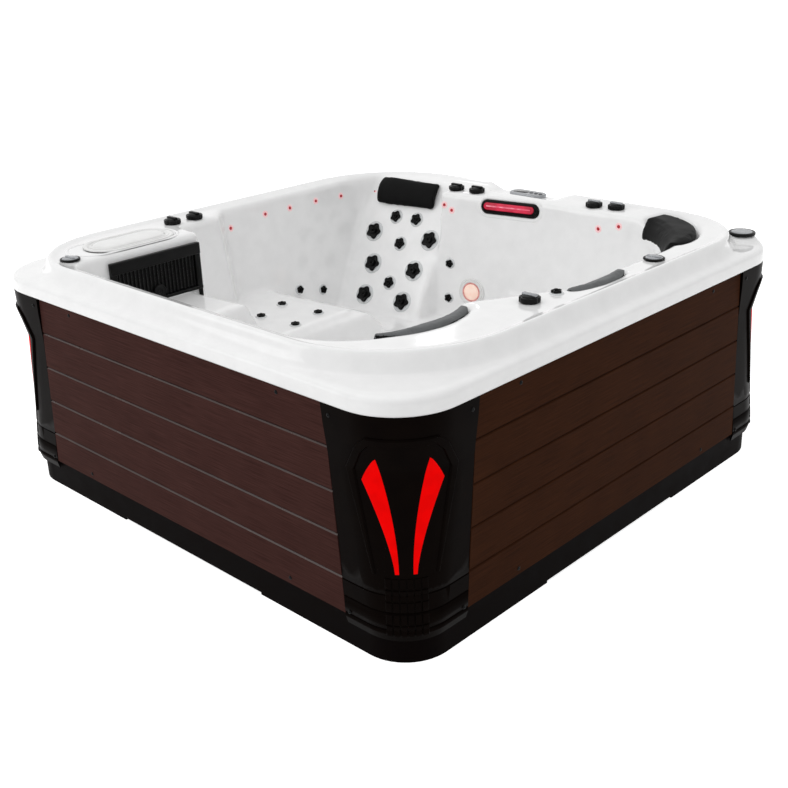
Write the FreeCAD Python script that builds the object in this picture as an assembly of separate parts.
"""Hot tub: a moulded acrylic spa in a slatted cabinet, as an assembly of separate pieces.

Frame: origin at the middle of the footprint on the floor, +Z up, lengths in millimetres.
-Y is the front slatted side, +X the right one, and the lounger lies along -X with its head at +Y.
Outlines are counter-clockwise and are shares of half the tub's side, or of a named size.
"""
import math
import os

import FreeCAD
import Part

V = FreeCAD.Vector
UP = V(0, 0, 1)

# Overall sizes
tub_side = 2100.0
tub_height = 893.0
wall = 10.0
overrun = 25.0
rest_gap = 0.3
loose_gap = 1.0
half = tub_side / 2

# Rim: lip, shelf, riser, ridge and deck
lip_drop = 117.0
lip_height = 52.0
lip_corner = 210.0
lip_edge_round = 9.0
ridge_inset = 62.0
ridge_near_corner = 450.0
ridge_far_corner = 400.0
ridge_side_corner = 345.0
ridge_crest = 14.0
deck_drop = 13.0
deck_bevel = 20.0
riser_inset_shares = [0.58, 0.76, 0.90, 0.98, 1.0]
riser_rise_shares = [-0.1, 0.22, 0.52, 0.86, 1.0]
lip_bottom = tub_height - lip_drop
shelf_z = lip_bottom + lip_height
deck_z = tub_height - deck_drop
riser_height = tub_height - shelf_z

# Levels of the seats inside, from their depths under the deck
platform_depth = 220.0
bed_depth = 385.0
bench_depth = 410.0
hip_depth = 558.0
floor_z = 95.0
platform_z = deck_z - platform_depth
bed_z = deck_z - bed_depth
bench_z = deck_z - bench_depth
hip_z = deck_z - hip_depth

# Lounger: profile along Y and plan outline
lounge_ref_share = -0.657
lounge_skew_share = 0.0963
back_y_share = 0.686
back_ref_depth = 240.0
back_ref_z = deck_z - back_ref_depth
back_run_share = 0.5616
platform_edge_share = -0.40
bed_start_share = -0.335
knee_share = 0.162
hip_start_share = 0.324
step_round = 30.0
knee_round = 200.0
hip_round = 40.0
lounge_shares = [(-0.80, -0.329), (-0.657, -0.329), (-0.657, -0.881), (-0.286, -0.881), (-0.286, 0.495),
                 (-0.38, 0.61), (-0.38, 0.90), (-0.881, 0.90), (-0.881, -0.057), (-0.80, -0.133)]
lounge_rounds = [40.0, 30.0, 60.0, 30.0, 60.0, 40.0, 60.0, 300.0, 60.0, 60.0]
lounge_draft_shares = [0.05, 0, 0.15, 0, 0, 0, 0.1, 0.12, 0.12, 0.12]

# Seats and mouth of the basin on the right of the lounger
basin_shares = [(-0.314, -0.881), (0.71, -0.881), (0.71, -0.448), (0.643, -0.376), (0.821, -0.057),
                (0.821, 0.821), (0.086, 0.798), (-0.386, 0.7085)]
basin_rounds = [30.0, 290.0, 50.0, 45.0, 110.0, 370.0, 200.0, 5.0]
basin_draft_shares = [0.15, 0.12, 0.05, 0.05, 0.27, 0.09, 0.09, 0]
well_left_share = -0.386
well_right_share = 0.0
well_front_share = 0.28
well_rounds = [60.0, 60.0, 60.0, 5.0]
footwell_shares = [(-0.33, -0.533), (0.40, -0.533), (0.40, 0.28), (0.02, 0.50), (-0.33, 0.50)]
footwell_round = 110.0
footwell_draft_share = 0.16

# Filter in the left corner
filter_x_share = -0.762
filter_y_share = -0.571
filter_length = 340.0
filter_width = 165.0
filter_depth = 550.0
filter_floor_z = deck_z - filter_depth
window_length = 250.0
window_height = 130.0
window_drop = 75.0
window_top_z = deck_z - window_drop
window_bottom_z = window_top_z - window_height
lid_margin = 14.0
lid_thickness = 6.0
lid_rim_depth = 16.0
lid_grip_height = 4.0
lid_grip_share = 0.78
lid_rim_wall = 4.0
lid_rim_gap = 2.0
cartridge_radius = 70.0
cartridge_height = 270.0
cartridge_pleats = 24
cartridge_pleat_depth = 9.0
cartridge_stem_radius = 18.0
cartridge_stem_height = 22.0
cartridge_cap_height = 14.0
grille_bottom_z = platform_z
grille_drop = 34.0
grille_top_z = deck_z - grille_drop
grille_y_share = -0.543
grille_length = 405.0
grille_depth = 20.0
grille_top_bar = 45.0
grille_post = 26.0
grille_foot_bar = 14.0
grille_slats = 21
grille_slat_width = 7.0
grille_slat_depth = 12.0
grille_tail = 84.0
grille_tail_width = 13.0
grille_boss_radius = 28.0
grille_boss_depth = 8.0
grille_boss_drop = 186.0
grille_boss_z = deck_z - grille_boss_drop

# Pillows
pillow_depth = 105.0
pillow_proud = 3.0
pillow_draw_in = 9.0
pillow_lean_share = 0.25
near_pillow_outer_shares = [(0.652, -0.757), (0.743, -0.571), (0.703, -0.392)]
near_pillow_inner_shares = [(0.662, -0.398), (0.694, -0.565), (0.640, -0.733)]
side_pillow_outer_shares = [(0.836, -0.103), (0.876, 0.045), (0.860, 0.195)]
side_pillow_inner_shares = [(0.818, 0.190), (0.828, 0.050), (0.815, -0.090)]
right_pillow_outer_shares = [(0.825, 0.560), (0.752, 0.822), (0.555, 0.915)]
right_pillow_inner_shares = [(0.535, 0.810), (0.690, 0.690), (0.785, 0.550)]
head_pillow_width = 332.0
head_pillow_height = 142.0
head_pillow_thickness = 36.0
head_pillow_edge = 14.0
head_pillow_s = 38.0
head_pillow_t = 206.0
head_section_shares = [(-0.5, 0.80), (-0.47, 0.92), (-0.28, 1.0), (0.28, 0.94), (0.47, 0.90), (0.5, 0.78)]

# Star jets: star radius, flange radius, barrel radius
large_star_radius = 39.0
large_flange_radius = 48.0
large_barrel_radius = 30.0
medium_star_radius = 27.0
medium_flange_radius = 34.0
medium_barrel_radius = 21.0
small_star_radius = 18.0
small_flange_radius = 24.0
small_barrel_radius = 14.0
jet_flange_thickness = 4.0
jet_barrel_length = 62.0
jet_barrel_wall = 3.0
jet_star_thickness = 8.0
jet_spindle_radius = 5.0
jet_spindle_length = 30.0
jet_seat_depth = 8.0
jet_lobes = 5
jet_hub_share = 0.66
jet_lobe_share = 0.30
jet_nozzle_share = 0.34
jet_nozzle_bore_share = 0.17
jet_nozzle_height = 3.0
jet_centre_s = 62.0
jet_spread = 160.0
jet_row_pitch = 149.0
jet_top_rise = 8.0
large_jet_shares = [(-1.0, 0), (-0.73, 1.0), (-0.71, 2.0), (1.0, 0), (0.75, 1.0), (0.65, 2.0)]
medium_jet_shares = [(-0.37, -0.56), (0.36, -0.56), (0.03, 0.25), (0.04, 1.5)]
bed_jet_shares = [(-0.572, -0.141), (-0.622, 0.011), (-0.428, 0.029), (-0.391, -0.124)]
side_jet_y_shares = [0.290, 0.422]
side_jet_depths = [432.0, 465.0]
console_jet_along_share = 0.87
console_jet_depths = [313.0, 468.0]
deck_jet_shares = (0.827, -0.140)

# Valves on the deck
knob_radius = 34.0
knob_height = 24.0
knob_grips = 6
knob_grip_radius = 6.0
grip_bite_share = 0.55
knob_top_radius = 22.0
knob_top_height = 3.0
cap_radius = 37.0
cap_height = 11.0
cap_top_radius = 25.0
collar_margin = 4.0
collar_thickness = 3.0
collar_stem_radius = 17.0
collar_stem_length = 55.0
spindle_radius = 7.0
spindle_length = 40.0
knob_shares = {
    "left_knob_1": (-0.843, -0.318),
    "left_knob_2": (-0.840, -0.216),
    "rear_knob_1": (-0.340, 0.766),
    "rear_knob_2": (-0.240, 0.778),
    "rear_knob_3": (0.290, 0.845),
    "rear_knob_4": (0.380, 0.862),
    "right_knob": (0.814, -0.254),
}
cap_shares = {
    "corner_cap": (-0.700, -0.852),
    "right_cap": (0.862, 0.345),
}

# Waterfall, control panel and lights
fall_length = 273.0
fall_height = 74.0
fall_rim = 12.0
fall_proud = 8.0
fall_body_depth = 40.0
fall_lens_proud = 3.0
fall_slot_wall = 4.0
fall_along_share = 0.306
fall_drop = 44.0
fall_z = deck_z - fall_drop
notch_x_share = -0.077
notch_length = 300.0
notch_front_share = 0.85
notch_drop = 14.0
notch_z = deck_z - notch_drop
notch_slope = 30.0
panel_x_share = -0.072
panel_y_share = 0.903
panel_length = 178.0
panel_width = 74.0
panel_height = 14.0
panel_shaft_radius = 22.0
panel_shaft_length = 30.0
panel_window_length = 62.0
panel_window_width = 34.0
panel_window_depth = 2.0
panel_window_share = -0.20
panel_edge_bevel = 4.0
button_radius = 9.0
button_height = 5.0
button_proud = 2.0
button_pitch = 24.0
button_first_share = 0.10
button_count = 3
button_travel = 1.5
light_radius = 62.0
light_lens_radius = 42.0
light_flange = 9.0
light_body_radius = 50.0
light_body_depth = 58.0
light_lens_proud = 3.0
light_lens_depth = 14.0
light_lens_round = 5.0
light_along_share = 0.64
light_depth = 426.0
light_z = deck_z - light_depth
led_radius = 6.0
led_head = 3.0
led_round = 2.0
led_left_y_shares = [-0.022, 0.166, 0.302, 0.452, 0.602]
led_left_depths = [87.0, 65.0, 65.0, 63.0, 69.0]
led_back_s = -165.0
led_back_t = 195.0
led_console_along_shares = [0.945, 0.87]
led_console_depths = [58.0, 78.0]
led_rear_along_shares = [0.65, 0.53]
led_rear_depths = [74.0, 52.0]

# Speaker on the right corner's shelf
speaker_share = 0.888
speaker_radius = 50.0
speaker_cap_height = 12.0
speaker_core_radius = 38.0
speaker_core_length = 70.0
speaker_boss_height = 26.0
speaker_boss_spread = 16.0
speaker_bore_gap = 2.5

# Cabinet: slats, covers, pan, frame
panel_inset = 12.0
panel_half = half - panel_inset
slat_thickness = 14.0
slat_bottom_z = 111.0
slat_first_z = 235.0
slat_count = 5
slat_gap = 1.0
slat_bevel = 4.0
slat_top_gap = 2.0
panel_half_width = 748.0
panel_width_z = 640.0
panel_taper_share = 0.073
cover_gap = 2.0
cover_wall = 6.0
cover_bottom_z = 84.0
cover_insets = [2.0, 4.0, 12.0, 14.0, 10.0, 9.0, 16.0]
cover_corners = [204.0, 202.0, 242.0, 188.0, 160.0, 156.0, 150.0]
cover_level_shares = [1.0, 0.91, 0.746, 0.31, 0.08, 0.035, 0]
cover_groove_heights = [228.0, 174.0, 120.0]
cover_groove_width = 5.0
cover_groove_depth = 2.5
bezel_thickness = 5.0
bezel_drop = 87.0
bezel_shoulder = 99.0
bezel_top_z = lip_bottom - bezel_drop
bezel_shoulder_z = bezel_top_z - bezel_shoulder
bezel_bottom_z = 291.0
bezel_top_half = 107.0
bezel_shoulder_half = 153.0
bezel_bottom_half = 94.0
blade_thickness = 3.0
blade_drop = 121.0
blade_tip = 77.0
blade_top_z = lip_bottom - blade_drop
blade_tip_z = blade_top_z - blade_tip
blade_bottom_z = 302.0
blade_inner_top = 69.0
blade_outer_top = 107.0
blade_inner_bottom = 22.0
blade_outer_bottom = 36.0
blade_inner_bow_share = -0.32
blade_outer_bow_share = -0.09
pan_inset = 13.0
pan_half = panel_half - pan_inset
pan_corner = 157.0
pan_height = 109.0
pan_wall = 6.0
pan_floor = 12.0
foot_relief = 8.0
foot_span_share = 0.36
frame_clearance = 1.0
frame_size = 45.0
frame_post_shares = [-0.62, 0, 0.62]
cradle_size = 120.0
cradle_shares = [(-0.12, 0.20), (0.18, 0.10), (-0.12, -0.40), (0.18, -0.40)]
batten_width = 40.0
board_thickness = 35.0
board_share = 0.56
board_top_gap = 12.0
screw_radius = 7.0
screw_head = 2.5
screw_x_share = 0.52
screw_inset = 26.0

# Equipment under the seats
pump_shares = [(-0.30, -0.72), (0.16, -0.72)]
pump_foot_length = 150.0
motor_radius = 82.0
motor_length = 260.0
volute_radius = 105.0
volute_length = 86.0
outlet_radius = 32.0
outlet_height = 36.0
pump_foot_width = 130.0
box_length = 380.0
box_width = 190.0
box_height = 300.0
box_share = (0.70, 0.02)
heater_radius = 38.0
heater_z = 200.0
heater_length = 400.0
pipe_radius = 30.0
pipe_rise = 70.0
suction_radius = 62.0
suction_height = 14.0
suction_round = 9.0
suction_stem_radius = 24.0
suction_stem = 40.0
suction_shares = [(-0.10, -0.25), (0.14, -0.25)]


def moved_edges(points, offsets):
    """Return the outline with edge i, from point i to the next, moved outwards by offsets[i]."""
    lines = []
    for i, (ax, ay) in enumerate(points):
        bx, by = points[(i + 1) % len(points)]
        length = math.hypot(bx - ax, by - ay)
        dx, dy = (bx - ax) / length, (by - ay) / length
        lines.append((ax + dy * offsets[i], ay - dx * offsets[i], dx, dy))
    moved = []
    for i, (qx, qy, qdx, qdy) in enumerate(lines):
        px, py, pdx, pdy = lines[i - 1]
        reach = ((qx - px) * qdy - (qy - py) * qdx) / (pdx * qdy - pdy * qdx)
        moved.append((px + pdx * reach, py + pdy * reach))
    return moved


def grown_rounds(points, rounds, grow):
    """Corner radii of an outline grown by grow: larger at outward corners, smaller at inward ones."""
    grown = []
    for i, (x, y) in enumerate(points):
        px, py = points[i - 1]
        nx, ny = points[(i + 1) % len(points)]
        turn = (x - px) * (ny - y) - (y - py) * (nx - x)
        grown.append(rounds[i] + grow if turn > 0 else rounds[i] - grow)
    return grown


def rounded_wire(points, rounds, place):
    """Closed wire through the outline's points with each corner rounded; place maps 2-D to 3-D."""
    corners = []
    for i, point in enumerate(points):
        corner = V(point[0], point[1], 0)
        before = V(*points[i - 1], 0) - corner
        after = V(*points[(i + 1) % len(points)], 0) - corner
        before.normalize()
        after.normalize()
        half_angle = before.getAngle(after) / 2
        reach = rounds[i] / math.tan(half_angle)
        middle = before + after
        middle.normalize()
        sag = rounds[i] / math.sin(half_angle) - rounds[i]
        corners.append((corner + before * reach, corner + middle * sag, corner + after * reach, rounds[i]))
    edges = []
    for i, (enter, middle, leave, radius) in enumerate(corners):
        following = corners[(i + 1) % len(corners)][0]
        if radius > 0:
            edges.append(Part.Arc(*(place(p.x, p.y) for p in (enter, middle, leave))).toShape())
        edges.append(Part.LineSegment(place(leave.x, leave.y), place(following.x, following.y)).toShape())
    return Part.Wire(edges)


def level(z):
    """Map plan coordinates to points at height z."""
    return lambda x, y: V(x, y, z)


def loft(wires):
    """Solid with straight walls through the wires."""
    return Part.makeLoft(wires, True, True)


def scaled(shares):
    """Plan points from shares of half the tub's side."""
    return [(x * half, y * half) for x, y in shares]


def square_wire(half_size, corners, z):
    """Rounded square about the origin at height z, with one radius or a list: left, near, right, far."""
    points = [(x * half_size, y * half_size) for x, y in ((-1, -1), (1, -1), (1, 1), (-1, 1))]
    rounds = corners if isinstance(corners, list) else [corners] * len(points)
    return rounded_wire(points, rounds, level(z))


def ridge_wire(inset, z):
    """Outline that runs beside the ridge, inset from the tub's side."""
    corners = [ridge_side_corner, ridge_near_corner, ridge_side_corner, ridge_far_corner]
    return square_wire(half - inset, [corner + ridge_inset - inset for corner in corners], z)


def square_block(half_size, corner, bottom, top):
    """Upright block with a rounded square plan."""
    return Part.Face(square_wire(half_size, corner, bottom)).extrude(V(0, 0, top - bottom))


def pocket(points, rounds, drafts, bottom, top, grow):
    """Drafted pocket: the outline holds at deck level, and each wall leans in by its draft below it."""
    wires = []
    radii = grown_rounds(points, rounds, grow)
    for z in (bottom - grow, top):
        offsets = [grow - draft * (deck_z - z) for draft in drafts]
        wires.append(rounded_wire(moved_edges(points, offsets), radii, level(z)))
    return loft(wires)


def wall_frame(points, drafts, edge, along, z):
    """Point and inward normal on wall number edge of a pocket, at a share along it and height z."""
    ax, ay = points[edge]
    bx, by = points[(edge + 1) % len(points)]
    run = V(bx - ax, by - ay, 0)
    inward = V(-run.y, run.x, 0)
    inward.normalize()
    spot = V(ax, ay, z) + run * along + inward * (drafts[edge] * (deck_z - z))
    normal = inward + UP * drafts[edge]
    normal.normalize()
    return spot, normal


def placed(shape, spot, normal):
    """Copy of a shape modelled on +Z about the origin, moved to spot with +Z along normal."""
    copy = shape.copy()
    across = UP.cross(normal) if abs(normal.z) < 1 else V(1, 0, 0)
    turn = FreeCAD.Rotation(across, V(0, 0, 0), normal, "ZXY")
    copy.Placement = FreeCAD.Placement(spot, turn)
    return copy


def on_axis(radius, bottom, top):
    """Cylinder on the Z axis between two heights."""
    return Part.makeCylinder(radius, top - bottom, V(0, 0, bottom))


def oblong(length, width, bottom, top):
    """Upright block with round ends, its length along X."""
    reach = (length - width) / 2
    block = Part.makeBox(length - width, width, top - bottom, V(-reach, -width / 2, bottom))
    ends = [Part.makeCylinder(width / 2, top - bottom, V(side * reach, 0, bottom)) for side in (-1, 1)]
    return block.fuse(ends).removeSplitter()


def box_between(low, high):
    """Box from its lowest to its highest corner."""
    return Part.makeBox(high[0] - low[0], high[1] - low[1], high[2] - low[2], V(*low))


def joined(shapes):
    """One solid from touching or overlapping shapes."""
    return shapes[0].multiFuse(shapes[1:]).removeSplitter()


def quarter_turns(shape):
    """The shape and its copies on the other three corners or sides."""
    copies = []
    for quarter in range(4):
        copy = shape.copy()
        copy.rotate(V(0, 0, 0), UP, 90 * quarter)
        copies.append(copy)
    return copies


def save(name, shapes):
    """Write one node, a single solid or a group of separate solids."""
    solids = [solid for shape in shapes for solid in shape.Solids]
    shape = solids[0] if len(solids) == 1 else Part.makeCompound(solids)
    valid = all(solid.isValid() for solid in solids)
    print(f"{name}: {len(solids)} solids, {shape.Volume / 1000:.1f} cm3, valid {valid}")
    shape.exportStep(f"parts/{name}.step")


os.makedirs("parts", exist_ok=True)

# Shell cavities
basin_points = scaled(basin_shares)
lounge_points = scaled(lounge_shares)
lounge_ref = lounge_ref_share * half
back_y = back_y_share * half


def back_at(z):
    """Y of the lounger's back at its reference X and height z."""
    return back_y + back_run_share * (z - back_ref_z)


def lounge_cavity(top, grow):
    """Lounger: its side profile run across, trimmed to the drafted plan outline."""
    profile = [(-half, platform_z), (platform_edge_share * half, platform_z), (bed_start_share * half, bed_z),
               (knee_share * half, bed_z), (hip_start_share * half, hip_z), (back_at(hip_z), hip_z),
               (back_at(top), top), (-half, top)]
    rounds = [0, step_round, step_round + wall, knee_round, knee_round, hip_round, 0, 0]
    offsets = [grow] * 6 + [0, 0]
    side = rounded_wire(moved_edges(profile, offsets), [
        radius if radius == 0 else turned
        for radius, turned in zip(rounds, grown_rounds(profile, rounds, grow))
    ], lambda y, z: V(-half, y - lounge_skew_share * (half + lounge_ref), z))
    across = Part.Face(side).extrude(V(half, lounge_skew_share * half, 0))
    plan = pocket(lounge_points, lounge_rounds, lounge_draft_shares, hip_z - overrun, top, grow)
    return across.common(plan)


def well_cavity(grow):
    """Deep end between the lounger and the bench, in front of the console and up to the bench."""
    (ax, ay), (bx, by) = basin_points[6], basin_points[7]
    slope = (by - ay) / (bx - ax)
    left, right = well_left_share * half, well_right_share * half
    points = [(left, well_front_share * half), (right, well_front_share * half),
              (right, ay + slope * (right - ax)), (left, ay + slope * (left - ax))]
    drafts = [0, 0, basin_draft_shares[6], 0]
    return pocket(points, well_rounds, drafts, hip_z, bench_z - grow, grow)


def footwell_cavity(top, grow):
    """Floor well in the middle."""
    points = scaled(footwell_shares)
    count = len(points)
    outline = moved_edges(points, [footwell_draft_share * (deck_z - bench_z)] * count)
    return pocket(outline, [footwell_round] * count, [footwell_draft_share] * count, floor_z, top, grow)


def over_filter(shape):
    """Move a shape modelled along X about the Z axis to the filter's place, along Y."""
    shape.rotate(V(0, 0, 0), UP, 90)
    shape.translate(V(filter_x_share * half, filter_y_share * half, 0))
    return shape


def filter_cavity(top, grow):
    """Oval well for the cartridge in the left corner."""
    return over_filter(oblong(filter_length + 2 * grow, filter_width + 2 * grow, filter_floor_z - grow, top))


def crescent(outer_shares, inner_shares, bottom, top, grow, lean):
    """Curved pad between two arcs, leaning with its seat's back."""
    outer = [V(x * half, y * half, 0) for x, y in outer_shares]
    inner = [V(x * half, y * half, 0) for x, y in inner_shares]
    edges = [Part.Arc(*outer).toShape(), Part.LineSegment(outer[2], inner[0]).toShape(),
             Part.Arc(*inner).toShape(), Part.LineSegment(inner[2], outer[0]).toShape()]
    outline = Part.Wire(edges)
    middle = (outer[1] + inner[1]) * -1
    middle.normalize()
    wires = []
    for z, inset in ((bottom, lean[1]), ((bottom + top) / 2, 0), (top, lean[1])):
        wire = outline.makeOffset2D(grow - inset) if grow != inset else outline.copy()
        wire.translate(middle * (lean[0] * (deck_z - z)) + UP * z)
        wires.append(wire)
    return loft(wires)


pillow_tables = {
    "near_pillow": (near_pillow_outer_shares, near_pillow_inner_shares),
    "side_pillow": (side_pillow_outer_shares, side_pillow_inner_shares),
    "right_pillow": (right_pillow_outer_shares, right_pillow_inner_shares),
}


def pillow_seat(name, top, grow):
    """Recess in the deck's edge that holds a pillow."""
    outer_shares, inner_shares = pillow_tables[name]
    lean = (pillow_lean_share, 0)
    return crescent(outer_shares, inner_shares, deck_z - pillow_depth - grow, top, grow + rest_gap, lean)


def shell_cavities(top, grow):
    """All hollows that the shell's skin follows."""
    basin = pocket(basin_points, basin_rounds, basin_draft_shares, bench_z, top, grow)
    return [lounge_cavity(top, grow), basin, well_cavity(grow), footwell_cavity(top, grow),
            filter_cavity(top, grow)]


def rim_block(grow):
    """Lip slab and riser, or with a negative grow the hollow under them."""
    slab = square_block(half + grow, lip_corner + grow, lip_bottom, shelf_z + grow)
    wires = []
    for inset_share, rise_share in zip(riser_inset_shares, riser_rise_shares):
        inset = ridge_inset * inset_share - grow
        z = shelf_z + riser_height * rise_share + grow
        wires.append(ridge_wire(inset, z))
    return slab, loft(wires)


slab, riser = rim_block(0)
top_edges = [edge for edge in slab.Edges if all(abs(v.Z - shelf_z) < rest_gap for v in edge.Vertexes)]
slab = slab.makeFillet(lip_edge_round, top_edges)
under_slab, under_riser = rim_block(-wall)
under_riser.translate(V(0, 0, -deck_drop))
lip_hollow = square_block(half - wall, lip_corner - wall, lip_bottom - overrun, lip_bottom + wall)
under_slab = under_slab.fuse(lip_hollow)
crest_inset = ridge_inset + ridge_crest
deck_cut = loft([ridge_wire(crest_inset + deck_bevel, deck_z), ridge_wire(crest_inset, tub_height),
                 ridge_wire(crest_inset, tub_height + overrun)])
skin_top = deck_z - wall / 2
notch_front = notch_front_share * half
notch_middle = notch_x_share * half


def notch_cavity(top, grow):
    """Dip in the rear ridge that holds the control panel."""
    floor = notch_z - grow
    reach = notch_length / 2
    flare = reach + notch_slope * (top - floor) / deck_drop
    back = half - ridge_inset if grow else half + overrun
    points = [(notch_middle - reach, floor), (notch_middle + reach, floor),
              (notch_middle + flare, top), (notch_middle - flare, top)]
    outline = Part.makePolygon([V(x, notch_front - grow, z) for x, z in points + points[:1]])
    return Part.Face(outline).extrude(V(0, back - notch_front + grow, 0))


boss = Part.makeCone(speaker_radius + speaker_boss_spread, speaker_radius, speaker_boss_height + wall)
speaker_spot = V(speaker_share * half, speaker_share * half, 0)
boss.translate(speaker_spot + UP * (shelf_z - wall))
speaker_bore = on_axis(speaker_core_radius + speaker_bore_gap, lip_bottom, tub_height)
speaker_bore.translate(speaker_spot)

# Places on the walls, and what is let into them
basin_wall = (basin_points, basin_draft_shares)
lounge_wall = (lounge_points, lounge_draft_shares)
console_edge, rear_edge, left_edge = 6, 5, 7
back_origin = V(lounge_ref, back_y, back_ref_z)
back_normal = V(lounge_skew_share, -1, back_run_share)
back_normal.normalize()
back_across = V(1, lounge_skew_share, 0)
back_across.normalize()
back_up = back_normal.cross(back_across)


def on_back(s, t):
    """Point on the lounger's back, s across from its reference and t up it."""
    return back_origin + back_across * s + back_up * t


def on_left_wall(y, z):
    """Point and normal on the long left wall."""
    (ax, ay), (bx, by) = lounge_points[left_edge], lounge_points[left_edge + 1]
    return wall_frame(*lounge_wall, left_edge, (y - ay) / (by - ay), z)


def on_deck(shares, z=deck_z):
    """Point and upward normal at shares of half the side."""
    return V(shares[0] * half, shares[1] * half, z), UP


jet_sizes = {
    "large": (large_star_radius, large_flange_radius, large_barrel_radius),
    "medium": (medium_star_radius, medium_flange_radius, medium_barrel_radius),
    "small": (small_star_radius, small_flange_radius, small_barrel_radius),
}
star_frames = {}
for kind, table in (("large", large_jet_shares), ("medium", medium_jet_shares)):
    for number, (s_share, drop_share) in enumerate(table, 1):
        spot = on_back(jet_centre_s + s_share * jet_spread, jet_top_rise - drop_share * jet_row_pitch)
        star_frames[f"{kind}_jet_{number}"] = (spot, back_normal, kind)
small_frames = [on_deck(shares, bed_z) for shares in bed_jet_shares] + [on_deck(deck_jet_shares)]
for y_share, depth in zip(side_jet_y_shares, side_jet_depths):
    small_frames.append(on_left_wall(y_share * half, deck_z - depth))
for depth in console_jet_depths:
    small_frames.append(wall_frame(*basin_wall, console_edge, console_jet_along_share, deck_z - depth))
knob_frames = {name: on_deck(shares) for name, shares in knob_shares.items()}
cap_frames = {name: on_deck(shares) for name, shares in cap_shares.items()}
fall_frame = wall_frame(*basin_wall, console_edge, fall_along_share, fall_z)
light_frame = wall_frame(*basin_wall, console_edge, light_along_share, light_z)
panel_frame = on_deck((panel_x_share, panel_y_share), notch_z)
led_frames = [on_left_wall(y * half, deck_z - depth) for y, depth in zip(led_left_y_shares, led_left_depths)]
led_frames.append((on_back(led_back_s, led_back_t), back_normal))
for along, depth in zip(led_console_along_shares, led_console_depths):
    led_frames.append(wall_frame(*basin_wall, console_edge, along, deck_z - depth))
for along, depth in zip(led_rear_along_shares, led_rear_depths):
    led_frames.append(wall_frame(*basin_wall, rear_edge, along, deck_z - depth))
suction_frames = [on_deck(shares, floor_z) for shares in suction_shares]


def bore(radius, frame):
    """Hole through the skin at a frame, with a loose gap round what passes."""
    return placed(on_axis(radius + loose_gap, -overrun, overrun), frame[0], frame[1])


fall_body_length = fall_length - 2 * fall_rim
fall_body_height = fall_height - 2 * fall_rim
fall_hole = oblong(fall_body_length + 2 * loose_gap, fall_body_height + 2 * loose_gap, -overrun, overrun)
window_x = lounge_points[1][0]
window_y = filter_y_share * half
window = box_between(
    (filter_x_share * half, window_y - window_length / 2, window_bottom_z),
    (window_x + overrun, window_y + window_length / 2, window_top_z))
holes = [bore(jet_sizes[kind][2], (spot, normal)) for spot, normal, kind in star_frames.values()]
holes += [bore(small_barrel_radius, frame) for frame in small_frames]
holes += [bore(collar_stem_radius, frame) for frame in list(knob_frames.values()) + list(cap_frames.values())]
holes += [bore(suction_stem_radius, frame) for frame in suction_frames]
holes += [bore(light_body_radius, light_frame), bore(panel_shaft_radius, panel_frame)]
holes += [placed(fall_hole, *fall_frame), window, speaker_bore]

# Acrylic shell
pillow_skins = [pillow_seat(name, skin_top, wall) for name in pillow_tables]
cut_top = tub_height + overrun
pillow_cuts = [pillow_seat(name, cut_top, 0) for name in pillow_tables]
skins = shell_cavities(skin_top, wall) + pillow_skins + [boss, notch_cavity(skin_top, wall)]
cuts = shell_cavities(cut_top, 0) + pillow_cuts + [notch_cavity(cut_top, 0), deck_cut]
shell = slab.fuse(riser).cut(under_slab).cut(under_riser)
for skin in skins:
    shell = shell.fuse(skin)
for cut in cuts:
    shell = shell.cut(cut)
shell = shell.cut(holes)
save("acrylic_shell", [shell])

# Star jets: fixed housings, and faces that turn about each jet's own axis


def jet_housing(flange, barrel):
    """Flange on the wall and the cup behind it, with a bore that guides the face's spindle."""
    cup = on_axis(flange, 0, jet_flange_thickness).fuse(on_axis(barrel, -jet_barrel_length, 0))
    cup = cup.cut(on_axis(barrel - jet_barrel_wall, -jet_spindle_length, jet_flange_thickness + overrun))
    guide_end = -jet_spindle_length - jet_seat_depth - loose_gap
    return cup.cut(on_axis(jet_spindle_radius + loose_gap, guide_end, 0)).removeSplitter()


def star_face(star):
    """Five-lobed face with a raised nozzle and the spindle that it turns on."""
    bottom = jet_flange_thickness + rest_gap
    top = bottom + jet_star_thickness
    reach = star * (1 - jet_lobe_share)
    shapes = [on_axis(star * jet_hub_share, bottom, top),
              on_axis(star * jet_nozzle_share, top, top + jet_nozzle_height),
              on_axis(jet_spindle_radius, -jet_spindle_length - jet_seat_depth, bottom)]
    for lobe in range(jet_lobes):
        turn = 2 * math.pi * lobe / jet_lobes
        spot = V(reach * math.cos(turn), reach * math.sin(turn), bottom)
        shapes.append(Part.makeCylinder(star * jet_lobe_share, jet_star_thickness, spot))
    nozzle = on_axis(star * jet_nozzle_bore_share, bottom + jet_star_thickness / 2, top + overrun)
    return joined(shapes).cut(nozzle)


housings = []
for name, (spot, normal, kind) in star_frames.items():
    star, flange, barrel = jet_sizes[kind]
    housings.append(placed(jet_housing(flange, barrel), spot, normal))
    save(name, [placed(star_face(star), spot, normal)])
small_housing = jet_housing(small_flange_radius, small_barrel_radius)
housings += [placed(small_housing, *frame) for frame in small_frames]
save("jet_housings", housings)
save("small_jet_faces", [placed(star_face(small_star_radius), *frame) for frame in small_frames])

# Valves: collars let into the deck, and the knobs and flat caps that turn in them


def collar(radius):
    """Ring on the deck with a stem below it, bored for the spindle."""
    body = on_axis(radius - collar_margin, 0, collar_thickness).fuse(
        on_axis(collar_stem_radius, -collar_stem_length, 0))
    guide = on_axis(spindle_radius + loose_gap, -spindle_length - loose_gap, collar_thickness + overrun)
    return body.cut(guide).removeSplitter()


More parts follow.
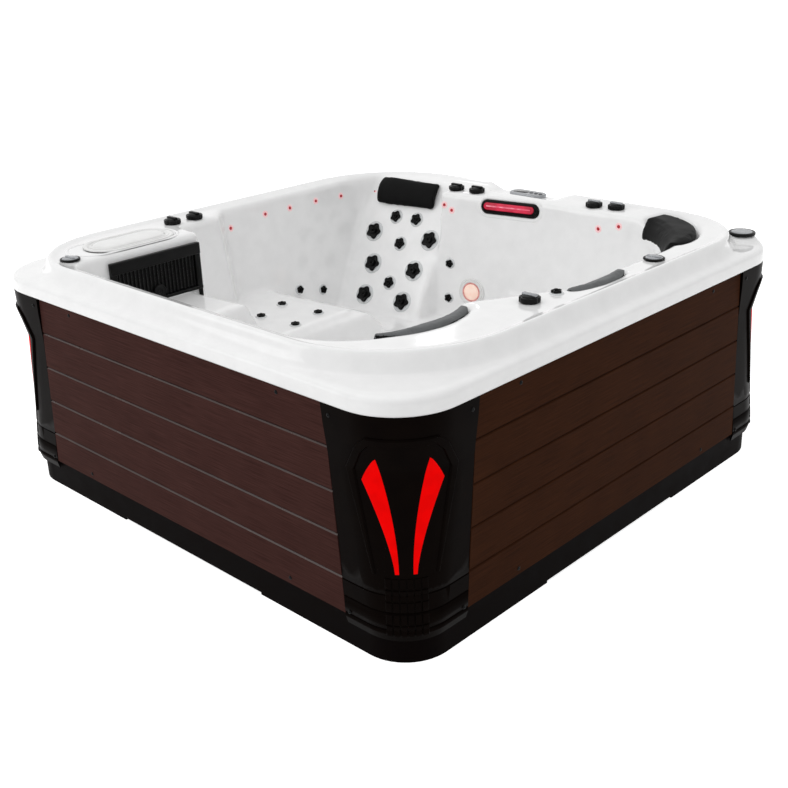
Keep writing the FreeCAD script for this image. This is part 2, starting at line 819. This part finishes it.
def turning_cap(radius, height, top_radius):
    """Round cap with scalloped grips, a raised top and a spindle."""
    bottom = collar_thickness + rest_gap
    top = bottom + height
    body = on_axis(radius, bottom, top)
    reach = radius + knob_grip_radius * grip_bite_share
    for grip in range(knob_grips):
        turn = 2 * math.pi * grip / knob_grips
        spot = V(reach * math.cos(turn), reach * math.sin(turn), bottom - overrun)
        body = body.cut(Part.makeCylinder(knob_grip_radius, height + 2 * overrun, spot))
    raised = on_axis(top_radius, top, top + knob_top_height)
    return joined([body, raised, on_axis(spindle_radius, -spindle_length, bottom)])


save("valve_collars", [placed(collar(knob_radius), *frame) for frame in knob_frames.values()]
     + [placed(collar(cap_radius), *frame) for frame in cap_frames.values()])
for name, frame in knob_frames.items():
    save(name, [placed(turning_cap(knob_radius, knob_height, knob_top_radius), *frame)])
for name, frame in cap_frames.items():
    save(name, [placed(turning_cap(cap_radius, cap_height, cap_top_radius), *frame)])

# Waterfall spout and its lit lens
slot_length = fall_body_length - 2 * fall_slot_wall
slot_height = fall_body_height - 2 * fall_slot_wall
slot_floor = -fall_body_depth / 2
spout = oblong(fall_length, fall_height, 0, fall_proud).fuse(
    oblong(fall_body_length, fall_body_height, -fall_body_depth, 0))
spout = spout.cut(oblong(slot_length, slot_height, slot_floor, fall_proud + overrun)).removeSplitter()
save("waterfall_spout", [placed(spout, *fall_frame)])
fall_lens = oblong(slot_length - 2 * rest_gap, slot_height - 2 * rest_gap, slot_floor, fall_lens_proud)
save("waterfall_lens", [placed(fall_lens, *fall_frame)])

# Control panel and its buttons
panel = oblong(panel_length, panel_width, 0, panel_height)
panel_edges = [edge for edge in panel.Edges if all(abs(v.Z - panel_height) < rest_gap for v in edge.Vertexes)]
panel = panel.makeChamfer(panel_edge_bevel, panel_edges)
panel = panel.fuse(on_axis(panel_shaft_radius, -panel_shaft_length, 0))
window_reach = panel_window_length / 2
window_middle = panel_window_share * panel_length
panel = panel.cut(box_between(
    (window_middle - window_reach, -panel_window_width / 2, panel_height - panel_window_depth),
    (window_middle + window_reach, panel_window_width / 2, panel_height + overrun)))
button_bottom = panel_height + button_proud - button_height
button_spots = []
for number in range(button_count):
    spot = V(button_first_share * panel_length + number * button_pitch, 0, 0)
    button_spots.append(spot)
    seat = on_axis(button_radius + rest_gap, button_bottom - button_travel - rest_gap, panel_height + overrun)
    seat.translate(spot)
    panel = panel.cut(seat)
save("control_panel", [placed(panel.removeSplitter(), *panel_frame)])
for number, spot in enumerate(button_spots, 1):
    button = on_axis(button_radius, button_bottom, panel_height + button_proud)
    button.translate(spot + panel_frame[0])
    save(f"panel_button_{number}", [button])

# Underwater light and the red dots along the walls
light = on_axis(light_radius, 0, light_flange).fuse(on_axis(light_body_radius, -light_body_depth, 0))
lens_bottom = light_flange - light_lens_depth
light = light.cut(on_axis(light_lens_radius + rest_gap, lens_bottom, light_flange + overrun))
save("light_housing", [placed(light.removeSplitter(), *light_frame)])


def domed_disc(radius, bottom, top, round_size):
    """Disc with a rounded front edge."""
    disc = on_axis(radius, bottom, top)
    front = [edge for edge in disc.Edges if all(abs(v.Z - top) < rest_gap for v in edge.Vertexes)]
    return disc.makeFillet(round_size, [edge for edge in front if edge.Closed])


lens = domed_disc(light_lens_radius, lens_bottom, light_flange + light_lens_proud, light_lens_round)
save("light_lens", [placed(lens, *light_frame)])
save("led_dots", [placed(domed_disc(led_radius, 0, led_head, led_round), *frame) for frame in led_frames])

# Filter: grille, lid and cartridge
grille_x = window_x
grille_front = grille_x + grille_depth
grille_low_y = grille_y_share * half - grille_length / 2
grille_high_y = grille_low_y + grille_length
grille_extents = [
    (grille_low_y, grille_top_z - grille_top_bar, grille_high_y, grille_top_z),
    (grille_low_y, grille_bottom_z, grille_high_y, grille_bottom_z + grille_foot_bar),
    (grille_low_y, grille_bottom_z, grille_low_y + grille_post, grille_top_z),
    (grille_high_y - grille_post, grille_bottom_z, grille_high_y, grille_top_z),
    (grille_high_y - grille_tail_width, grille_bottom_z - grille_tail, grille_high_y, grille_top_z),
]
bars = [box_between((grille_x, y, z), (grille_front, far_y, far_z)) for y, z, far_y, far_z in grille_extents]
slat_span = grille_length - 2 * grille_post
for number in range(grille_slats):
    y = grille_low_y + grille_post + slat_span * (number + 0.5) / grille_slats
    bars.append(box_between((grille_x, y - grille_slat_width / 2, grille_bottom_z),
                            (grille_x + grille_slat_depth, y + grille_slat_width / 2, grille_top_z)))
boss_spot = V(grille_x, grille_y_share * half, grille_boss_z)
boss_length = grille_slat_depth + grille_boss_depth
bars.append(Part.makeCylinder(grille_boss_radius, boss_length, boss_spot, V(1, 0, 0)))
save("skimmer_grille", [joined(bars)])

lid_low = deck_z + rest_gap
lid_length = filter_length + 2 * lid_margin
lid_width = filter_width + 2 * lid_margin
rim_length = filter_length - 2 * lid_rim_gap
rim_width = filter_width - 2 * lid_rim_gap
lid = oblong(lid_length, lid_width, lid_low, lid_low + lid_thickness)
grip_top = lid_low + lid_thickness + lid_grip_height
lid = lid.fuse(oblong(lid_length * lid_grip_share, lid_width * lid_grip_share, lid_low, grip_top))
rim = oblong(rim_length, rim_width, lid_low - lid_rim_depth, lid_low).cut(
    oblong(rim_length - 2 * lid_rim_wall, rim_width - 2 * lid_rim_wall, lid_low - lid_rim_depth, lid_low))
save("filter_lid", [over_filter(lid.fuse(rim).removeSplitter())])

pleat_points = []
for step in range(2 * cartridge_pleats + 1):
    radius = cartridge_radius - (step % 2) * cartridge_pleat_depth
    turn = math.pi * step / cartridge_pleats
    pleat_points.append(V(radius * math.cos(turn), radius * math.sin(turn), 0))
pleats = Part.Face(Part.makePolygon(pleat_points)).extrude(UP * cartridge_height)
stem_top = cartridge_height + cartridge_stem_height
cartridge = joined([pleats, on_axis(cartridge_radius, 0, cartridge_cap_height),
                    on_axis(cartridge_radius, cartridge_height - cartridge_cap_height, cartridge_height),
                    on_axis(cartridge_stem_radius, cartridge_height, stem_top)])
cartridge_spot = V(filter_x_share * half, filter_y_share * half, filter_floor_z + rest_gap)
cartridge.translate(cartridge_spot)
save("filter_cartridge", [cartridge])

# Pillows
for name, (outer_shares, inner_shares) in pillow_tables.items():
    pad = crescent(outer_shares, inner_shares, deck_z - pillow_depth + rest_gap, deck_z + pillow_proud, 0,
                   (pillow_lean_share, pillow_draw_in))
    save(name, [pad])


def head_section(s_share, size_share):
    """Closed outline across the head pillow: flat back, short sides and a crowned front."""
    reach = head_pillow_height * size_share / 2
    side = head_pillow_edge * size_share
    crown = head_pillow_thickness * size_share
    points = [(-reach, rest_gap), (reach, rest_gap), (reach, side), (0, crown), (-reach, side)]
    middle = on_back(head_pillow_s + s_share * head_pillow_width, head_pillow_t)
    low, high, top, front, bottom = [middle + back_up * t + back_normal * n for t, n in points]
    return Part.Wire([Part.LineSegment(low, high).toShape(), Part.LineSegment(high, top).toShape(),
                      Part.Arc(top, front, bottom).toShape(), Part.LineSegment(bottom, low).toShape()])


save("head_pillow", [loft([head_section(*shares) for shares in head_section_shares])])

# Pop-up speaker
boss_top = shelf_z + speaker_boss_height
speaker = on_axis(speaker_radius, boss_top + rest_gap, boss_top + rest_gap + speaker_cap_height).fuse(
    on_axis(speaker_core_radius, boss_top - speaker_core_length, boss_top + rest_gap))
speaker.translate(speaker_spot)
save("corner_speaker", [speaker.removeSplitter()])

# Suction covers in the footwell's floor
suction = domed_disc(suction_radius, 0, suction_height, suction_round)
suction = suction.fuse(on_axis(suction_stem_radius, -suction_stem, 0))
save("suction_covers", [placed(suction.removeSplitter(), *frame) for frame in suction_frames])

# Cabinet sides: five slats each, narrower towards the top


def panel_edge(z):
    """Half the width of a side's slats at height z."""
    return panel_half_width - panel_taper_share * (z - panel_width_z)


slat_pitch = (lip_bottom - slat_top_gap - slat_first_z) / (slat_count - 1)
slat_levels = [slat_bottom_z] + [slat_first_z + slat_pitch * step for step in range(slat_count)]
slats = []
screws = []
for low, high in zip(slat_levels, slat_levels[1:]):
    bottom, top = low + slat_gap / 2, high - slat_gap / 2
    points = [(-panel_edge(bottom), bottom), (panel_edge(bottom), bottom),
              (panel_edge(top), top), (-panel_edge(top), top)]
    face = Part.Face(Part.makePolygon([V(x, -panel_half, z) for x, z in points + points[:1]]))
    slat = face.extrude(V(0, slat_thickness, 0))
    rims = [edge for edge in slat.Edges
            if all(abs(v.Y + panel_half) < rest_gap for v in edge.Vertexes)
            and edge.BoundBox.ZLength < rest_gap]
    slats.append(slat.makeChamfer(slat_bevel, rims))
for z in (slat_levels[0] + screw_inset, slat_levels[-1] - screw_inset):
    for side in (-1, 1):
        spot = V(side * screw_x_share * half, -panel_half, z)
        screws.append(Part.makeCylinder(screw_radius, screw_head, spot, V(0, -1, 0)))
side_names = ["front_slats", "right_slats", "rear_slats", "left_slats"]
for name, side in zip(side_names, quarter_turns(Part.makeCompound(slats))):
    save(name, [side])
save("panel_screws", quarter_turns(Part.makeCompound(screws)))

# Corner covers with their lights
cover_top_z = lip_bottom - rest_gap
cover_height = cover_top_z - cover_bottom_z
cover_levels = list(zip(cover_insets, cover_corners, cover_level_shares))


def cover_loft(grow):
    """Block inside the covers' outer surface, grown by grow."""
    wires = [square_wire(half - inset + grow, corner + grow, cover_bottom_z + cover_height * share)
             for inset, corner, share in cover_levels]
    return loft(wires)


def corner_prism(points):
    """Prism through the near corner, from (across, height) points seen along the diagonal."""
    ahead = V(1, -1, 0)
    across = V(1, 1, 0)
    ahead.normalize()
    across.normalize()
    wire = Part.makePolygon([ahead * half + across * u + UP * z for u, z in points + points[:1]])
    return Part.Face(wire).extrude(ahead * half)


def wedge_wire(z):
    """Square at the near corner, beside the ends of the slats."""
    low, high = panel_edge(z) + cover_gap, half + overrun
    points = [(low, -high), (high, -high), (high, -low), (low, -low), (low, -high)]
    return Part.makePolygon([V(x, y, z) for x, y in points])


wedge = loft([wedge_wire(cover_bottom_z - overrun), wedge_wire(lip_bottom)])
cover = cover_loft(0).cut(cover_loft(-cover_wall)).common(wedge)
groove_core = cover_loft(-cover_groove_depth)
for z in cover_groove_heights:
    slice_block = box_between((0, -half, z), (half, 0, z + cover_groove_width))
    cover = cover.cut(slice_block.cut(groove_core))
for name, corner in zip(["near_cover", "right_cover", "far_cover", "left_cover"], quarter_turns(cover)):
    save(name, [corner])

bezel_points = [(-bezel_bottom_half, bezel_bottom_z), (bezel_bottom_half, bezel_bottom_z),
                (bezel_shoulder_half, bezel_shoulder_z), (bezel_top_half, bezel_top_z),
                (-bezel_top_half, bezel_top_z), (-bezel_shoulder_half, bezel_shoulder_z)]
bezel_outside = cover_loft(rest_gap + bezel_thickness)
bezel = bezel_outside.cut(cover_loft(rest_gap)).common(corner_prism(bezel_points))
save("light_bezels", quarter_turns(bezel))

blade_back = bezel_thickness + 2 * rest_gap
blade_shell = cover_loft(blade_back + blade_thickness).cut(cover_loft(blade_back))
bow_z = (blade_tip_z + blade_bottom_z) / 2
bow_inner = (blade_inner_top + blade_inner_bottom) / 2 * (1 + blade_inner_bow_share)
bow_outer = (blade_outer_top + blade_outer_bottom) / 2 * (1 + blade_outer_bow_share)
blades = []
for side in (-1, 1):
    blade_points = [(blade_inner_bottom, blade_bottom_z), (blade_outer_bottom, blade_bottom_z),
                    (bow_outer, bow_z), (blade_outer_top, blade_tip_z),
                    (blade_inner_top, blade_top_z), (bow_inner, bow_z)]
    blades.append(blade_shell.common(corner_prism([(side * u, z) for u, z in blade_points])))
save("light_blades", [copy for blade in blades for copy in quarter_turns(blade)])

# Base pan, frame and insulation
pan = square_block(pan_half, pan_corner, 0, pan_height).cut(
    square_block(pan_half - pan_wall, pan_corner - pan_wall, pan_floor, pan_height + overrun))
relief = foot_span_share * half
for length, width in ((half, relief), (relief, half)):
    pan = pan.cut(box_between((-length, -width, -overrun), (length, width, foot_relief)))
save("base_pan", [pan])

frame_half = pan_half - pan_wall - frame_clearance
frame_corner = pan_corner - pan_wall - frame_clearance
frame_inner = frame_half - frame_size
frame_top = shelf_z - wall


def frame_ring(bottom):
    """Square rail with rounded corners, as thick as the posts."""
    top = bottom + frame_size
    return square_block(frame_half, frame_corner, bottom, top).cut(
        square_block(frame_inner, frame_corner - frame_size, bottom - overrun, top + overrun))


posts = []
for share in frame_post_shares:
    x = share * half
    posts.append(box_between((x - frame_size / 2, -frame_half, pan_floor),
                             (x + frame_size / 2, -frame_inner, frame_top)))
    posts.append(box_between((x - batten_width / 2, slat_thickness - panel_half, slat_bottom_z),
                             (x + batten_width / 2, -frame_half, lip_bottom)))
rails = [frame_ring(pan_floor), frame_ring(frame_top - frame_size)]
frame = joined(rails + [solid for post in posts for solid in quarter_turns(post)])
speaker_room = on_axis(speaker_core_radius + overrun, lip_bottom - overrun, shelf_z)
speaker_room.translate(speaker_spot)
cradles = []
for x_share, y_share in cradle_shares:
    x, y, reach = x_share * half, y_share * half, cradle_size / 2
    cradles.append(box_between((x - reach, y - reach, pan_floor), (x + reach, y + reach, floor_z - wall)))
save("support_frame", [frame.cut(speaker_room)] + cradles)

board = box_between((-board_share * half, -frame_inner, pan_floor),
                    (board_share * half, board_thickness - frame_inner, lip_bottom - board_top_gap))
save("insulation_boards", quarter_turns(board))

# Pumps, heater box and pipes
pump_z = pan_floor + volute_radius
outlet_z = pump_z + volute_radius + outlet_height
pumps = []
pump_spots = scaled(pump_shares)
for x, y in pump_spots:
    motor_x = x + volute_length / 2
    foot_x = motor_x + (motor_length - pump_foot_length) / 2
    pumps.append(joined([
        Part.makeCylinder(volute_radius, volute_length, V(x - volute_length / 2, y, pump_z), V(1, 0, 0)),
        Part.makeCylinder(motor_radius, motor_length, V(motor_x, y, pump_z), V(1, 0, 0)),
        box_between((foot_x, y - pump_foot_width / 2, pan_floor),
                    (foot_x + pump_foot_length, y + pump_foot_width / 2, pump_z)),
        Part.makeCylinder(outlet_radius, outlet_z - pump_z, V(x, y, pump_z)),
    ]))
save("jet_pumps", pumps)

box_x, box_y = box_share[0] * half, box_share[1] * half
box_low = (box_x - box_width / 2, box_y - box_length / 2, pan_floor)
control_box = box_between(box_low, (box_x + box_width / 2, box_y + box_length / 2, pan_floor + box_height))
heater_x = box_low[0] - heater_radius / 2
heater_y = box_y - heater_length / 2
heater = Part.makeCylinder(heater_radius, heater_length, V(heater_x, heater_y, heater_z), V(0, 1, 0))
save("heater_control_box", [joined([control_box, heater])])

header_z = outlet_z + pipe_rise
pump_y = pump_spots[0][1]
elbows = [(pump_spots[0][0], header_z), (heater_x, header_z), (heater_x, heater_z)]
corners = [V(x, pump_y, z) for x, z in elbows]
runs = [(V(x, y, outlet_z), V(x, y, header_z)) for x, y in pump_spots]
runs += [(corners[0], corners[1]), (corners[1], corners[2]), (corners[2], V(heater_x, heater_y, heater_z))]
pipes = [Part.makeCylinder(pipe_radius, (end - start).Length, start, end - start) for start, end in runs]
pipes += [Part.makeSphere(pipe_radius, corner) for corner in corners]
save("pipe_manifold", [joined(pipes)])

# Frames of what turns or slides: place and axis
joint_frames = {name: (spot, normal) for name, (spot, normal, kind) in star_frames.items()}
joint_frames.update(knob_frames)
joint_frames.update(cap_frames)
for number, spot in enumerate(button_spots, 1):
    joint_frames[f"panel_button_{number}"] = (spot + panel_frame[0] + UP * (panel_height + button_proud), UP)
joint_frames["filter_lid"] = (V(filter_x_share * half, filter_y_share * half, lid_low), UP)
joint_frames["filter_cartridge"] = (cartridge_spot, UP)
joint_frames["corner_speaker"] = (speaker_spot + UP * boss_top, UP)
for name, (spot, axis) in joint_frames.items():
    print(name, [round(value, 3) for value in spot], [round(value, 5) for value in axis])
